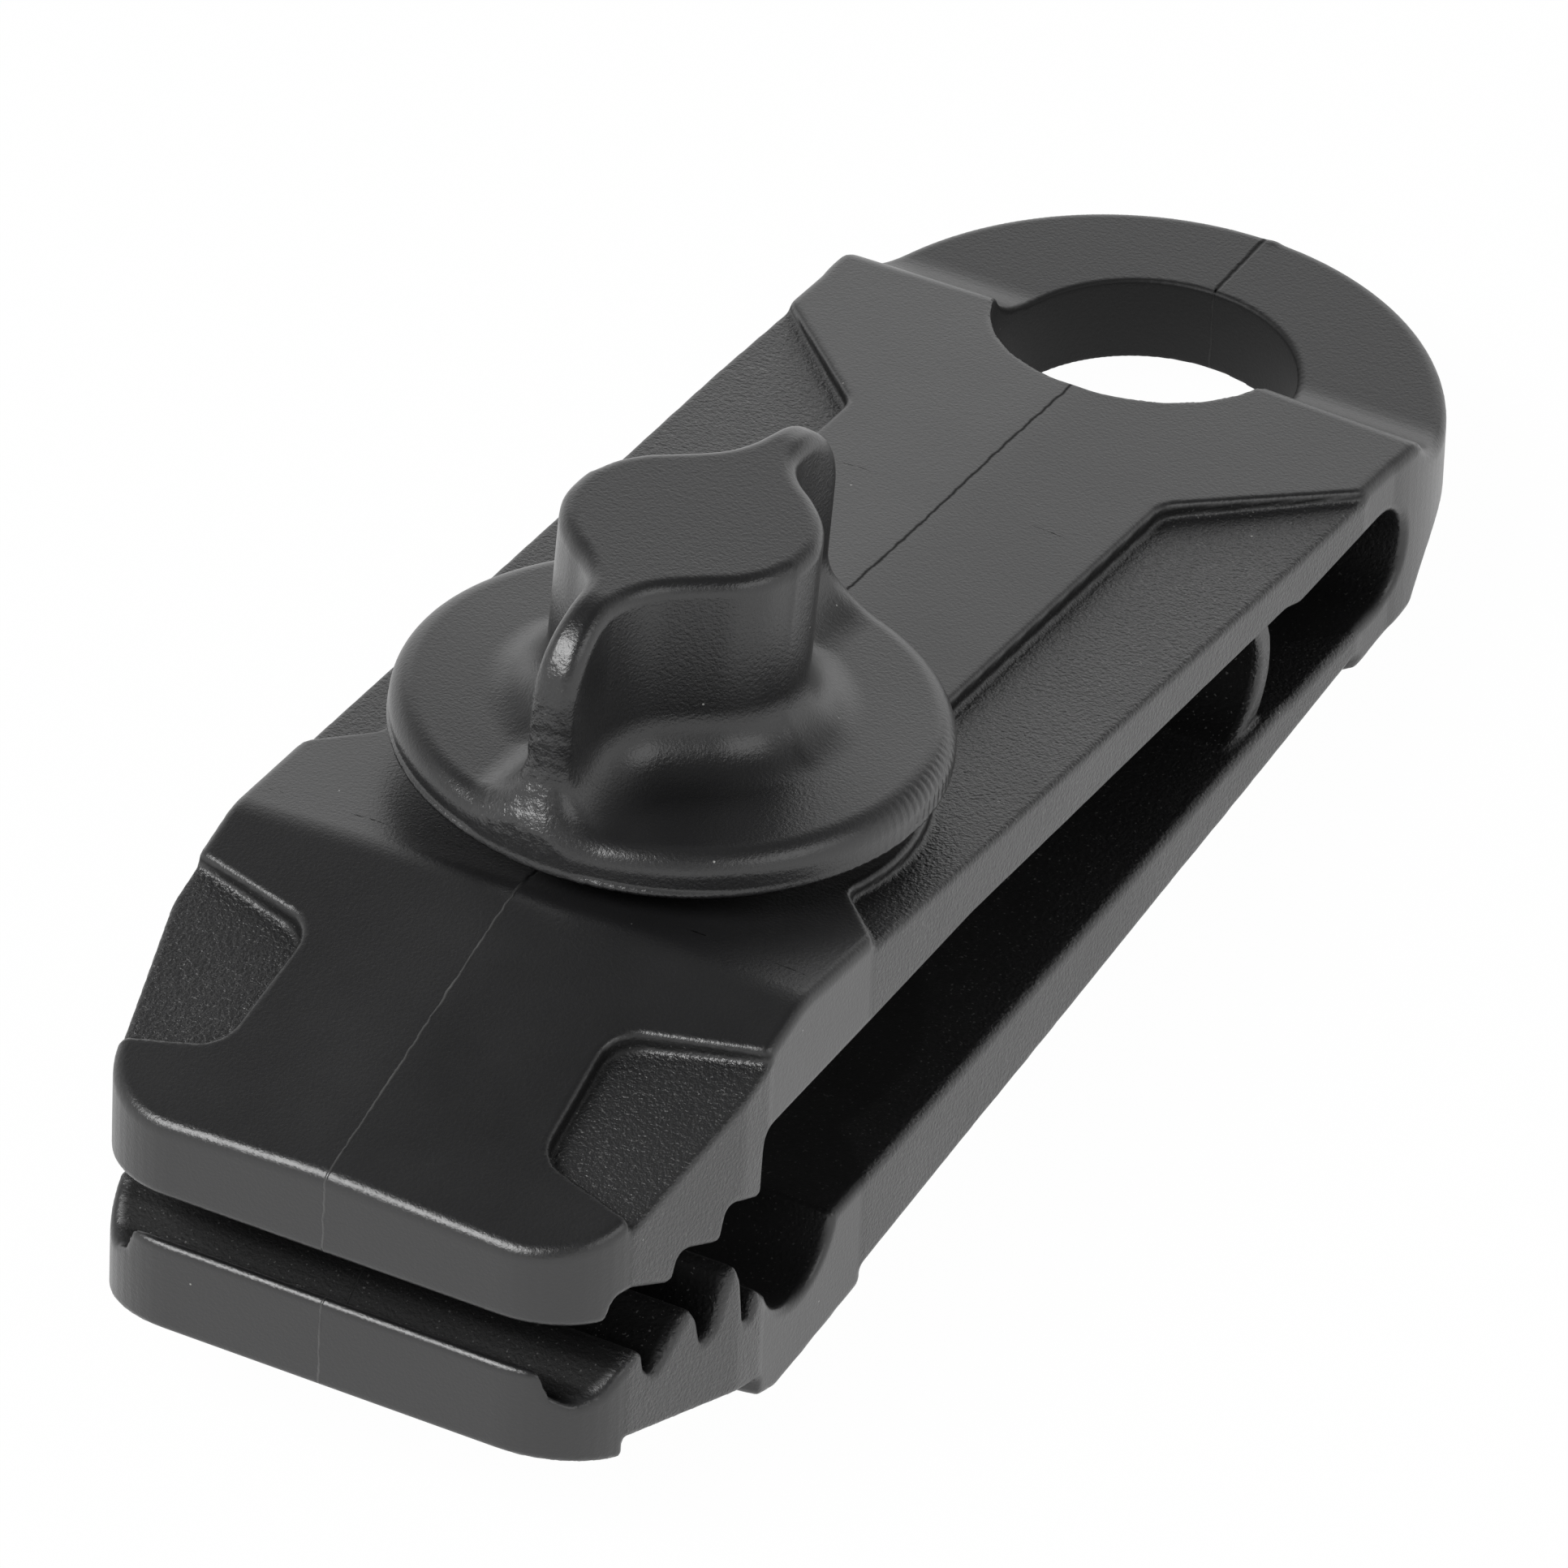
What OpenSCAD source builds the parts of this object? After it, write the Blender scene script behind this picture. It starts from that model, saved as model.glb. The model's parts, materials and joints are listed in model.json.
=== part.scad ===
// Tarp clip: two toothed jaws moulded on one flexing back, drawn together by a
// wing screw, with an eyelet behind. Millimetres. The clip is first drawn about its
// mid-plane (x across, y from the jaw lips back to the eyelet, z up) and is then laid
// on the flat underside of its lower arm, +Z up, with the origin under its middle.

/* [Body] */
// Width of the body at the rear end of the side shelves
body_w = 29.4; // [26:0.1:32]
// Width of the body at the crease where the nose begins
nose_w = 28.8; // [25:0.1:31]
// Width of the straight part of the front edge
lip_w = 16.8; // [15:0.1:19]
// Radius of the front corners, seen from above
corner_r = 4.6; // [3.5:0.1:5.2]
// Distance from the front edge to the point where the sides are at full nose width
corner_reach = 12; // [10:0.1:14]
// Angle between each plate and the mid-plane, degrees
arm_angle = 5.46; // [4.8:0.01:6]
// Angle between the nose and the mid-plane, degrees
nose_angle = 15.3; // [13:0.1:17]
// Distance from the front edge to the nose crease
nose_l = 17.2; // [16:0.1:18.5]
// Angle between the underside of the nose and the mid-plane, degrees
low_nose_angle = 17.1; // [15:0.1:18]
// Distance from the front edge to the crease in the underside
low_nose_l = 15.8; // [15.2:0.1:17.6]
// Distance from the front edge to the rear end of the plates
plate_l = 76; // [74:0.1:78]
// Half height of the body at the rear end of the upper plate, on the centre line
back_h = 5.2; // [4.9:0.05:5.8]
// Fall of the upper plate from its centre line to each side, degrees
draft = 2.57; // [1:0.01:3]

/* [Eyelet] */
// Radius of the eyelet hole
hole_r = 7.16; // [6:0.01:7.6]
// Distance of the eyelet hole's centre behind the rear end of the plates
hole_back = 1.8; // [1:0.1:3]
// Distance of the ring's own centre in front of the hole's centre
ring_shift = 2.5; // [1.5:0.05:2.6]
// How far the ring stands out past the sides of the body
ring_bulge = 0.5; // [0:0.05:0.7]
// Thickness of the eyelet ring
ring_t = 4.4; // [3.6:0.1:5]
// Radius of the hollow where the plates step down to the ring
step_r = 2.9; // [2:0.1:2.9]
// Wall left between the eyelet hole and the hollow between the arms
hole_wall = 2.2; // [1.8:0.1:2.6]

/* [Hollow between the arms] */
// Height of the upper arm's inner face over the mid-plane behind the upper teeth
roof_front_h = 4.9; // [4.6:0.05:5.2]
// Height of the same face over the mid-plane at the rear web
roof_rear_h = 2.9; // [2.7:0.05:3.1]
// Depth of the lower arm's inner face under the mid-plane behind the front scoop
floor_front_h = 3.9; // [3.7:0.05:4.1]
// Depth of the same face under the mid-plane at the rear web
floor_rear_h = 2.6; // [2.4:0.05:2.8]
// Distance from the front edge to where the upper inner face starts to close in
roof_bend_y = 33; // [32:0.5:36]
// Distance from the start of the rear pocket to the rear end of the plates
pocket_l = 12.5; // [11.8:0.1:12.8]
// Height of the rear pocket
pocket_h = 5.2; // [4.8:0.1:5.4]
// Depth of the rear pocket's axis under the mid-plane
pocket_drop = 0.15; // [0:0.05:0.3]
// Distance from the rear end of the pocket to the rear end of the plates
pocket_wall = 1; // [0.8:0.1:2]
// Outer radius of the curved web
web_r = 4.2; // [4:0.05:4.4]
// Thickness of the curved web
web_t = 1.2; // [0.8:0.05:1.4]
// Distance from the centre of the web's curve to the rear end of the plates
web_back = 16.9; // [16.6:0.1:17.2]
// Height of the centre of the web's curve over the mid-plane
web_rise = 0.35; // [0:0.05:0.4]
// Set-back of the web's ends from the sides of the body
web_inset = 0.5; // [0.2:0.1:1.5]

/* [Teeth] */
// Distance from one tooth tip to the next
tooth_pitch = 3.9; // [3.8:0.05:4]
// Height of the upper tooth tips over the mid-plane
upper_tip_h = 1.35; // [1.2:0.05:1.6]
// Depth of the gullets between the upper teeth
upper_gullet = 1.25; // [0.8:0.05:1.5]
// Run of the steep rear face of an upper tooth
upper_steep = 0.85; // [0.4:0.05:1]
// Depth of the upper lip behind the front edge
upper_lip_l = 2.35; // [2:0.05:2.6]
// Height of the upper lip over the mid-plane
upper_lip_h = 1.85; // [1.7:0.05:2.2]
// Depth of the lower tooth tips under the mid-plane
lower_tip_h = 1.3; // [1.2:0.05:1.6]
// Depth of the gullets between the lower teeth
lower_gullet = 1.65; // [1:0.05:1.8]
// Run of the steep rear face of a lower tooth
lower_steep = 1.15; // [0.6:0.05:1.3]
// Distance from the front edge to the first lower tooth tip
lower_first_y = 4; // [3.8:0.05:4.2]
// Depth of the lower lip behind the front edge
lower_lip_l = 0.8; // [0.6:0.05:1]
// Depth of the lower lip's top under the mid-plane
lower_lip_h = 0.75; // [0.7:0.05:1]
// Depth of the groove behind the last lower tooth, under the mid-plane
groove_h = 4.7; // [4.2:0.05:5]
// Radius of the big scoop behind the lower teeth
scoop_r = 3.2; // [2.9:0.05:3.3]
// Distance from the front edge to the centre of the scoop
scoop_y = 17.6; // [17.4:0.05:17.8]
// Depth of the scoop's centre under the mid-plane
scoop_h = 3.2; // [3:0.05:3.4]

/* [Recesses] */
// Half width of the raised middle strip between the side shelves
strip_w = 8.1; // [7:0.1:9]
// Depth of the side shelves
shelf_depth = 0.8; // [0.4:0.05:1.1]
// Distance from the front edge to the front end of a shelf at the side
shelf_front_y = 23.8; // [23:0.1:25]
// Distance from the inner rear corner of a shelf to the rear end of the plates
shelf_back = 12.2; // [11:0.1:16]
// Radius of the raised round pad that the knob stands over
pad_r = 13.1; // [12.7:0.1:13.6]
// Depth of the recesses in the nose
dent_depth = 0.83; // [0.4:0.01:1]
// Distance from the centre line to the inner side of a nose recess
dent_in = 7.7; // [7:0.1:9]
// Distance from the front edge to the rear side of a nose recess, at its inner corner
dent_rear_y = 12.4; // [12:0.1:13]
// Distance from the front edge to the front side of a nose recess, at its inner corner
dent_front_y = 5.1; // [4.5:0.1:6]
// Angle of the front and rear sides of a nose recess, degrees
dent_angle = 15; // [8:0.5:18]
// Corner radius of the nose recesses
dent_r = 1.6; // [0.8:0.1:2.2]

/* [Wing screw] */
// Distance from the front edge to the screw's axis, on the mid-plane
screw_y = 30.2; // [29.5:0.1:31]
// Backward tilt of the screw, degrees
screw_tilt = 1.7; // [0:0.1:2]
// Sideways lean of the screw as it stands on one half of the drafted plate, degrees
screw_lean = 2.4; // [0:0.1:2.6]
// Radius of the screw over its thread
screw_r = 2.5; // [2:0.05:2.6]
// Distance of the screw's end inside the flat of the lower arm
screw_short = 1.72; // [1.6:0.02:2]
// Distance across the flats of the screw's head and of the nut
hex_af = 8; // [7.4:0.1:8.4]
// Thickness of the screw's head, moulded into the knob
head_t = 3.5; // [2.5:0.1:4.5]
// Height of the underside of the head over that of the flange
head_rise = 4.1; // [3:0.1:5.5]
// Thickness of the nut
nut_t = 2.7; // [2.4:0.05:3]
// Depth at which the nut's lower face is set in the flat of the lower arm
nut_set = 1.2; // [0.9:0.05:1.4]
// Radius of the flange
flange_r = 12.65; // [11.5:0.05:13]
// Height of the flange's underside over the plate, at the screw's axis
flange_gap = 1.82; // [1.7:0.02:2.2]
// Thickness of the flange
flange_t = 1.75; // [1.4:0.05:2.2]
// Rounding of the flange's upper edge
flange_round = 0.7; // [0.3:0.05:0.9]
// Radius of the hub
hub_r = 5.75; // [5.2:0.05:6.6]
// Height of the knob from the flange's underside to its flat top
knob_l = 11.65; // [10:0.05:13]
// Radius of the fillet between the hub and the flange
hub_fillet = 2; // [1:0.1:3]
// Radius reached by the two wings
wing_r = 11.6; // [10:0.1:11.8]
// Thickness of a wing
wing_t = 2; // [1.6:0.1:2.8]
// Sideways offset of a wing's middle from the axis
wing_shift = 0.65; // [0:0.05:1]
// Rounding of a wing's upper outer corner
wing_round = 4.1; // [3:0.1:5]
// Fillet between the hub and the hollow side of a wing
wing_fillet = 1.4; // [1:0.1:1.8]
// Fillet between the hub and the flowing side of a wing
flow_fillet = 2.5; // [1.6:0.1:4]
// Radius of the collar under the flange
collar_r = 5; // [4.4:0.1:6]
// Height of the collar's underside over the plate, at the screw's axis
collar_gap = 0.52; // [0.48:0.02:0.7]

/* [Clearances] */
// Gap across the upper arm where it flexes
flex_gap = 0.5; // [0.4:0.05:0.6]
// Distance from the line about which the arms flex to the rear end of the plates
flex_back = 16.5; // [16.4:0.1:17]
// Room round the screw in the arms
screw_room = 0.5; // [0.45:0.05:0.6]
// Room between the thread of the screw and that of the nut
thread_room = 0.4; // [0.36:0.02:0.5]
// Room round the nut in its pocket
nut_room = 0.15; // [0.05:0.05:0.3]
// Gap between the screw and the knob that is moulded round it
mould_gap = 0.03; // [0.01:0.01:0.05]

/* [Hidden] */
$fn = 96;
// Facets of a rounded recess corner
corner_fn = 32;
hex_sides = 6;
// Overrun of every cut
over = 1;
// Slope of the plates
arm_slope = tan(arm_angle);
// The lower arm is flat across, level with the drafted edge of the upper plate
low_back_h = back_h - body_w / 2 * tan(draft);
nose_h = back_h + (plate_l - nose_l) * arm_slope;
low_nose_h = low_back_h + (plate_l - low_nose_l) * arm_slope;
low_lip_h = low_nose_h - low_nose_l * tan(low_nose_angle);
ring_r = body_w / 2 + ring_bulge;
hole_y = plate_l + hole_back;
ring_y = hole_y - ring_shift;
pocket_y = plate_l - pocket_l;
pocket_end = plate_l - pocket_wall;
web_y = plate_l - web_back;
shelf_rear_y = plate_l - shelf_back;
flex_y = plate_l - flex_back;
// Heights of both plates where the screw goes through, and of what is set from them
plate_h = back_h + (plate_l - screw_y) * arm_slope;
low_plate_h = low_back_h + (plate_l - screw_y) * arm_slope;
flange_h = plate_h + flange_gap;
collar_h = plate_h + collar_gap;
knob_top = flange_h + knob_l;
head_h = flange_h + head_rise;
screw_end = low_plate_h - screw_short;
nut_h = low_plate_h - nut_set - nut_t;
clip_l = ring_y + ring_r;
// Larger than the clip in every direction
reach = 2 * clip_l;
half_w = body_w / 2;
// Middle of the front corners and of the line on which they end
corner_x = lip_w / 2;
nose_half = nose_w / 2;
// The lower arm's tip and the eyelet's edge set how far the clip reaches when laid flat
row_front = -low_lip_h * sin(arm_angle);
row_rear = clip_l * cos(arm_angle) + ring_t / 2 * sin(arm_angle);
row_y = -(row_front + row_rear) / 2;
row_z = plate_l * sin(arm_angle) + low_back_h * cos(arm_angle);
// First and last of the upper tooth tips
upper_teeth = 4;
lower_teeth = 3;
last_upper_y = upper_lip_l + (upper_teeth - 1) * tooth_pitch;
last_lower_y = lower_first_y + (lower_teeth - 1) * tooth_pitch;
pocket_r = pocket_h / 2;
// How far under the hub's surface the wings' root fillets start
root_sink = mould_gap;
// A point inside the scoop that the groove's rear side runs towards, in front of and under
// the scoop's centre, and one inside it at which the floor's line starts, behind the centre
nib_shares = [0.8, 0.1];
floor_share = 0.5;
// Share of the last steep face's run at which the groove bottoms out
groove_share = 0.95;

// Lays the clip, drawn about its mid-plane, on the flat of its lower arm
module lay_flat() {
    translate([0, row_y, row_z]) rotate([-arm_angle, 0, 0]) children();
}

// Stands its children on the screw's axis
module on_screw() {
    translate([0, screw_y, 0]) rotate([-screw_tilt, 0, 0]) rotate([0, screw_lean, 0]) children();
}

// Carries an outline drawn in (y, z) across the clip
module across(w) {
    rotate([90, 0, 90]) linear_extrude(w, center = true) children();
}

// Everything above a plane through a line on the centre plane that slopes along y
// and falls by the draft to the side; with a draft, both halves are cut
module above(y, z, slope, fall) {
    for (side = [-1, 1])
        translate([0, y, z]) rotate([slope, 0, 0]) rotate([0, side * fall, 0])
            translate([-reach, -reach, 0]) cube([2 * reach, 2 * reach, reach]);
}

// The clip seen from above: rounded front corners, tapering sides and the ring
module plan() {
    union() {
        polygon([
            [-corner_x, 0], [corner_x, 0],
            [corner_x + corner_r, corner_r], [nose_half, corner_reach],
            [half_w, shelf_rear_y], [half_w, ring_y],
            [-half_w, ring_y], [-half_w, shelf_rear_y],
            [-nose_half, corner_reach], [-corner_x - corner_r, corner_r]
        ]);
        for (side = [-1, 1])
            translate([side * corner_x, corner_r]) circle(corner_r);
        translate([0, ring_y]) circle(ring_r);
    }
}

// The solid between the plates and noses, with its steps down to the ring
module hull_block() {
    difference() {
        linear_extrude(2 * nose_h, center = true) plan();
        above(plate_l, back_h, -arm_angle, draft);
        above(nose_l, nose_h, nose_angle, draft);
        mirror([0, 0, 1]) {
            above(plate_l, low_back_h, -arm_angle, 0);
            above(low_nose_l, low_nose_h, low_nose_angle, 0);
        }
        step_down(ring_t / 2);
        mirror([0, 0, 1]) step_down(ring_t / 2);
    }
}

// The hollow step from a plate down to the ring
module step_down(h) {
    across(2 * reach) union() {
        translate([plate_l + step_r, h + step_r]) circle(step_r);
        translate([plate_l, h + step_r]) square([clip_l, nose_h]);
        translate([plate_l + step_r, h]) square([clip_l, nose_h]);
    }
}

// Side outline of the hollow between the arms, from the lips to the rear pocket
function upper_edge() = concat(
    [[-over, upper_lip_h], [upper_lip_l, upper_lip_h]],
    [for (i = [1 : upper_teeth - 1]) each [
        [upper_lip_l + (i - 1) * tooth_pitch + upper_steep, upper_tip_h + upper_gullet],
        [upper_lip_l + i * tooth_pitch, upper_tip_h]
    ]],
    [[last_upper_y, roof_front_h], [roof_bend_y, roof_front_h], [pocket_y, roof_rear_h]]
);

function lower_edge() = concat(
    [[-over, -lower_lip_h], [lower_lip_l, -lower_lip_h]],
    [[lower_lip_l + lower_steep / 2, -lower_tip_h - lower_gullet]],
    [for (i = [0 : lower_teeth - 2]) each [
        [lower_first_y + i * tooth_pitch, -lower_tip_h],
        [lower_first_y + i * tooth_pitch + lower_steep, -lower_tip_h - lower_gullet]
    ]],
    [
        [last_lower_y, -lower_tip_h],
        [last_lower_y + lower_steep * groove_share, -groove_h],
        [scoop_y - scoop_r * nib_shares[0], -scoop_h - scoop_r * nib_shares[1]],
        [scoop_y + scoop_r * floor_share, -floor_front_h],
        [pocket_y, -floor_rear_h]
    ]
);

module hollow_outline() {
    union() {
        polygon(concat(lower_edge(), [for (i = [len(upper_edge()) - 1 : -1 : 0]) upper_edge()[i]]));
        translate([scoop_y, -scoop_h]) circle(scoop_r);
    }
}

module pocket_outline() {
    union() {
        translate([web_y, -pocket_r - pocket_drop]) square([pocket_end - pocket_r - web_y, pocket_h]);
        translate([pocket_end - pocket_r, -pocket_drop]) circle(pocket_r);
    }
}

// The web between the arms, an arc that bulges towards the eyelet
module web() {
    intersection() {
        across(body_w - 2 * web_inset) intersection() {
            difference() {
                translate([web_y, web_rise]) circle(web_r);
                translate([web_y, web_rise]) circle(web_r - web_t);
            }
            translate([web_y, -roof_front_h]) square([2 * web_r, 2 * roof_front_h]);
        }
        hull_block();
    }
}

// A side shelf's plan: outside the middle strip, round the knob's pad, closed by two slants
module shelf_plan() {
    far = body_w;
    difference() {
        polygon([
            [far, shelf_front_y - far + nose_half],
            [strip_w, shelf_front_y + nose_half - strip_w],
            [strip_w, shelf_rear_y],
            [far, shelf_rear_y + far - strip_w]
        ]);
        translate([0, screw_y]) circle(pad_r);
    }
}

// Both shelves under a plane that is h over the mid-plane at the rear end of the plates;
// their floors are level across
module shelves(h) {
    for (side = [0, 1]) mirror([side, 0, 0])
        intersection() {
            linear_extrude(reach) shelf_plan();
            translate([0, plate_l, h]) rotate([-arm_angle, 0, 0])
                translate([0, -reach, -shelf_depth]) cube([reach, 2 * reach, reach]);
        }
}

// A nose recess's plan: a quadrilateral with round inner corners, open to the side
module dent_plan() {
    far = body_w;
    spread = (far - dent_in) * tan(dent_angle);
    hull() {
        translate([dent_in + dent_r, dent_rear_y - dent_r]) circle(dent_r, $fn = corner_fn);
        translate([dent_in + dent_r, dent_front_y + dent_r]) circle(dent_r, $fn = corner_fn);
        translate([far, dent_front_y + dent_r - spread]) circle(dent_r, $fn = corner_fn);
        translate([far, dent_rear_y - dent_r + spread]) circle(dent_r, $fn = corner_fn);
    }
}

// Both recesses under a plane that is h over the mid-plane at y and has the nose's slope
module dents(y, h, slope) {
    for (side = [0, 1]) mirror([side, 0, 0])
        intersection() {
            linear_extrude(reach) dent_plan();
            translate([0, y, h]) rotate([slope, 0, 0])
                translate([0, -reach, -dent_depth]) cube([reach, 2 * reach, reach]);
        }
}

// The whole moulding, both arms joined by the back, before it is parted for its flexure
module moulding() {
    difference() {
        union() {
            difference() {
                hull_block();
                across(2 * reach) hollow_outline();
                difference() {
                    across(2 * reach) pocket_outline();
                    translate([0, hole_y, 0]) cylinder(r = hole_r + hole_wall, h = reach, center = true);
                }
            }
            web();
        }
        translate([0, hole_y, 0]) cylinder(r = hole_r, h = reach, center = true);
        shelves(back_h - strip_w * tan(draft));
        dents(nose_l, nose_h - dent_in * tan(draft), nose_angle);
        mirror([0, 0, 1]) {
            shelves(low_back_h);
            dents(low_nose_l, low_nose_h, low_nose_angle);
        }
        on_screw() cylinder(r = screw_r + screw_room, h = reach, center = true);
        on_screw() translate([0, 0, -nut_h - reach]) hex_bar(hex_af + 2 * nut_room, reach);
    }
}

// A hexagonal bar standing on z = 0
module hex_bar(af, h) {
    cylinder(r = af / 2 / cos(180 / hex_sides), h = h, $fn = hex_sides);
}

// The space of the upper arm in front of the flexure, wider by a gap
module front_of_flexure(gap) {
    translate([-reach, flex_y - reach + gap, 0]) cube([2 * reach, reach, reach]);
}

module lower_jaw() {
    color([0.09, 0.09, 0.095]) lay_flat() difference() {
        moulding();
        front_of_flexure(flex_gap / 2);
    }
}

module upper_jaw() {
    color([0.1, 0.1, 0.105]) lay_flat() intersection() {
        moulding();
        front_of_flexure(-flex_gap / 2);
    }
}

// Fills the corner between the hub and one straight side of a wing, x = side_x; the fillet
// starts a little under the hub's surface
module wing_root(side_x, fillet) {
    dir = side_x > 0 ? 1 : -1;
    cx = side_x + dir * fillet;
    cy = sqrt((hub_r - root_sink + fillet) * (hub_r - root_sink + fillet) - cx * cx);
    difference() {
        polygon([[side_x, cy], [cx, cy], [0, 0]]);
        translate([cx, cy]) circle(fillet);
    }
}

// Both wings seen from above
module wings_plan() {
    for (turn = [0, 180]) rotate(turn) {
        translate([wing_shift - wing_t / 2, 0]) square([wing_t, reach]);
        wing_root(wing_shift + wing_t / 2, wing_fillet);
        wing_root(wing_shift - wing_t / 2, flow_fillet);
    }
}

// What the wings may fill: a round body with a rounded upper edge
module wing_envelope() {
    rotate_extrude() union() {
        square([wing_r, knob_top - wing_round]);
        square([wing_r - wing_round, knob_top]);
        translate([wing_r - wing_round, knob_top - wing_round]) circle(wing_round);
    }
}

// The turned shape: collar, flange with its rounded upper edge, fillet and hub
module turned_shape() {
    top = flange_h + flange_t;
    rotate_extrude() union() {
        translate([0, collar_h]) square([collar_r, flange_t]);
        translate([0, flange_h]) square([flange_r, flange_t - flange_round]);
        translate([0, flange_h]) square([flange_r - flange_round, flange_t]);
        translate([flange_r - flange_round, top - flange_round]) circle(flange_round);
        translate([0, flange_h]) square([hub_r, knob_top - flange_h]);
        difference() {
            translate([0, flange_h]) square([hub_r + hub_fillet, flange_t + hub_fillet]);
            translate([hub_r + hub_fillet, top + hub_fillet]) circle(hub_fillet);
        }
    }
}

module wing_knob() {
    color([0.11, 0.11, 0.115]) lay_flat() on_screw() difference() {
        union() {
            turned_shape();
            intersection() {
                translate([0, 0, flange_h + flange_t / 2]) linear_extrude(reach) wings_plan();
                wing_envelope();
            }
        }
        cylinder(r = screw_r + mould_gap, h = head_h);
        translate([0, 0, head_h - mould_gap]) hex_bar(hex_af + 2 * mould_gap, head_t + 2 * mould_gap);
    }
}

module clamp_screw() {
    color([0.62, 0.63, 0.65]) lay_flat() on_screw() union() {
        translate([0, 0, -screw_end]) cylinder(r = screw_r, h = screw_end + head_h + head_t / 2);
        translate([0, 0, head_h]) hex_bar(hex_af, head_t);
    }
}

module captive_nut() {
    color([0.66, 0.66, 0.66]) lay_flat() on_screw() difference() {
        translate([0, 0, -nut_h - nut_t]) hex_bar(hex_af, nut_t);
        cylinder(r = screw_r + thread_room, h = reach, center = true);
    }
}

lower_jaw();
upper_jaw();
wing_knob();
clamp_screw();
captive_nut();
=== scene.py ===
"""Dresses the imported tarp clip: the flexing moulding, the thumb knob, the screw and the nut.

All lengths are written in millimetres in the clip's own mid-plane frame (x across, y from the
jaw lips back to the eyelet, z up) and are laid on the lower arm's flat, in metres, at the end.
"""
import json
import logging
import math
from collections.abc import Callable
from dataclasses import dataclass, field
from enum import Enum

import bpy
import numpy as np
from mathutils import Matrix, Vector


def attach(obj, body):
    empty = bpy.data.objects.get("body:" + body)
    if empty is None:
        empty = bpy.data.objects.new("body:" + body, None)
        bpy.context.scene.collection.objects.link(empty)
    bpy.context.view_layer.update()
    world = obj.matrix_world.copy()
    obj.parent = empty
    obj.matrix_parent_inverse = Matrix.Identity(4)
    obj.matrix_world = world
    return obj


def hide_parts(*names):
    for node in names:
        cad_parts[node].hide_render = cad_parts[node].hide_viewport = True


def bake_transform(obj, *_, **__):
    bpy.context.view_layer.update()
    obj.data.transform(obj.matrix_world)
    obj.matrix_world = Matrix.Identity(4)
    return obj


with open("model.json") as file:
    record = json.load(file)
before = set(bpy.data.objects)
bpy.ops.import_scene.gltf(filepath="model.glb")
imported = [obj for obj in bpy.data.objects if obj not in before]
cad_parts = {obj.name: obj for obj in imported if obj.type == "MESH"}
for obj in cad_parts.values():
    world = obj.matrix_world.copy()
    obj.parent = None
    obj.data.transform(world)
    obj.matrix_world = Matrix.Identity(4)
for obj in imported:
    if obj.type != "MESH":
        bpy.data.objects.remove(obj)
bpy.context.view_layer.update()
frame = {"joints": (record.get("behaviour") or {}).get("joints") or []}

LOG = logging.getLogger("tarp_clip")
MM = 0.001
Points = list[tuple[float, float]]
Array = np.ndarray


class Slot(Enum):
    """The record's material slots."""

    BODY = "body"
    KNOB = "knob"
    SCREW = "screw"
    NUT = "nut"


# Outlines and distances


def rounded(corners: list[tuple[float, float, float]], steps: int = 6) -> Array:
    """A closed outline with each corner replaced by an arc.

    The arc of radius r touches both sides at r / tan(half the corner's angle) from the corner,
    or nearer where a side is too short for that.

    Args:
        corners: (x, y, radius) of each corner, in order.
        steps: the number of stretches in each arc.

    Returns:
        An (n, 2) array of points.
    """
    p = np.array([c[:2] for c in corners], float)
    before, after = np.roll(p, 1, 0) - p, np.roll(p, -1, 0) - p
    lb, la = np.linalg.norm(before, axis=1), np.linalg.norm(after, axis=1)
    ub, ua = before / lb[:, None], after / la[:, None]
    half = np.arccos(np.clip((ub * ua).sum(1), -1, 1)) / 2
    r = np.array([c[2] for c in corners], float)
    reach = np.minimum(r / np.tan(half), 0.48 * np.minimum(lb, la))
    r = reach * np.tan(half)
    out = []
    for i in range(len(p)):
        if r[i] < 1e-4:
            out.append(p[i][None])
            continue
        middle = p[i] + (ub[i] + ua[i]) / np.linalg.norm(ub[i] + ua[i]) * r[i] / math.sin(half[i])
        a, b = p[i] + ub[i] * reach[i] - middle, p[i] + ua[i] * reach[i] - middle
        turn = math.atan2(a[0] * b[1] - a[1] * b[0], a @ b)
        t = np.linspace(0, turn, steps + 1)
        start = math.atan2(a[1], a[0])
        out.append(middle + r[i] * np.stack([np.cos(start + t), np.sin(start + t)], 1))
    return np.concatenate(out)


def smooth_loop(points: Points, steps: int = 8) -> Array:
    """A closed smooth curve through points: between two of them a cubic whose slope at each end
    is half the way from its neighbour before to its neighbour after.

    Args:
        points: (x, y) places that the curve passes, in order.
        steps: the number of stretches between two of them.

    Returns:
        An (n, 2) array of points.
    """
    p = np.array(points, float)
    before, after, second = np.roll(p, 1, 0), np.roll(p, -1, 0), np.roll(p, -2, 0)
    t = (np.arange(steps) / steps)[None, :, None]
    a, b, c, d = (q[:, None, :] for q in (before, p, after, second))
    curve = b + 0.5 * t * (c - a + t * (2 * a - 5 * b + 4 * c - d + t * (3 * (b - c) + d - a)))
    return curve.reshape(-1, 2)


def arc(cx: float, cy: float, r: float, a0: float, a1: float, n: int = 16) -> Points:
    """Points on a circle of radius r about (cx, cy) from angle a0 to a1, in degrees."""
    t = np.radians(np.linspace(a0, a1, n))
    return [(cx + r * math.cos(k), cy + r * math.sin(k)) for k in t]


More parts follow.
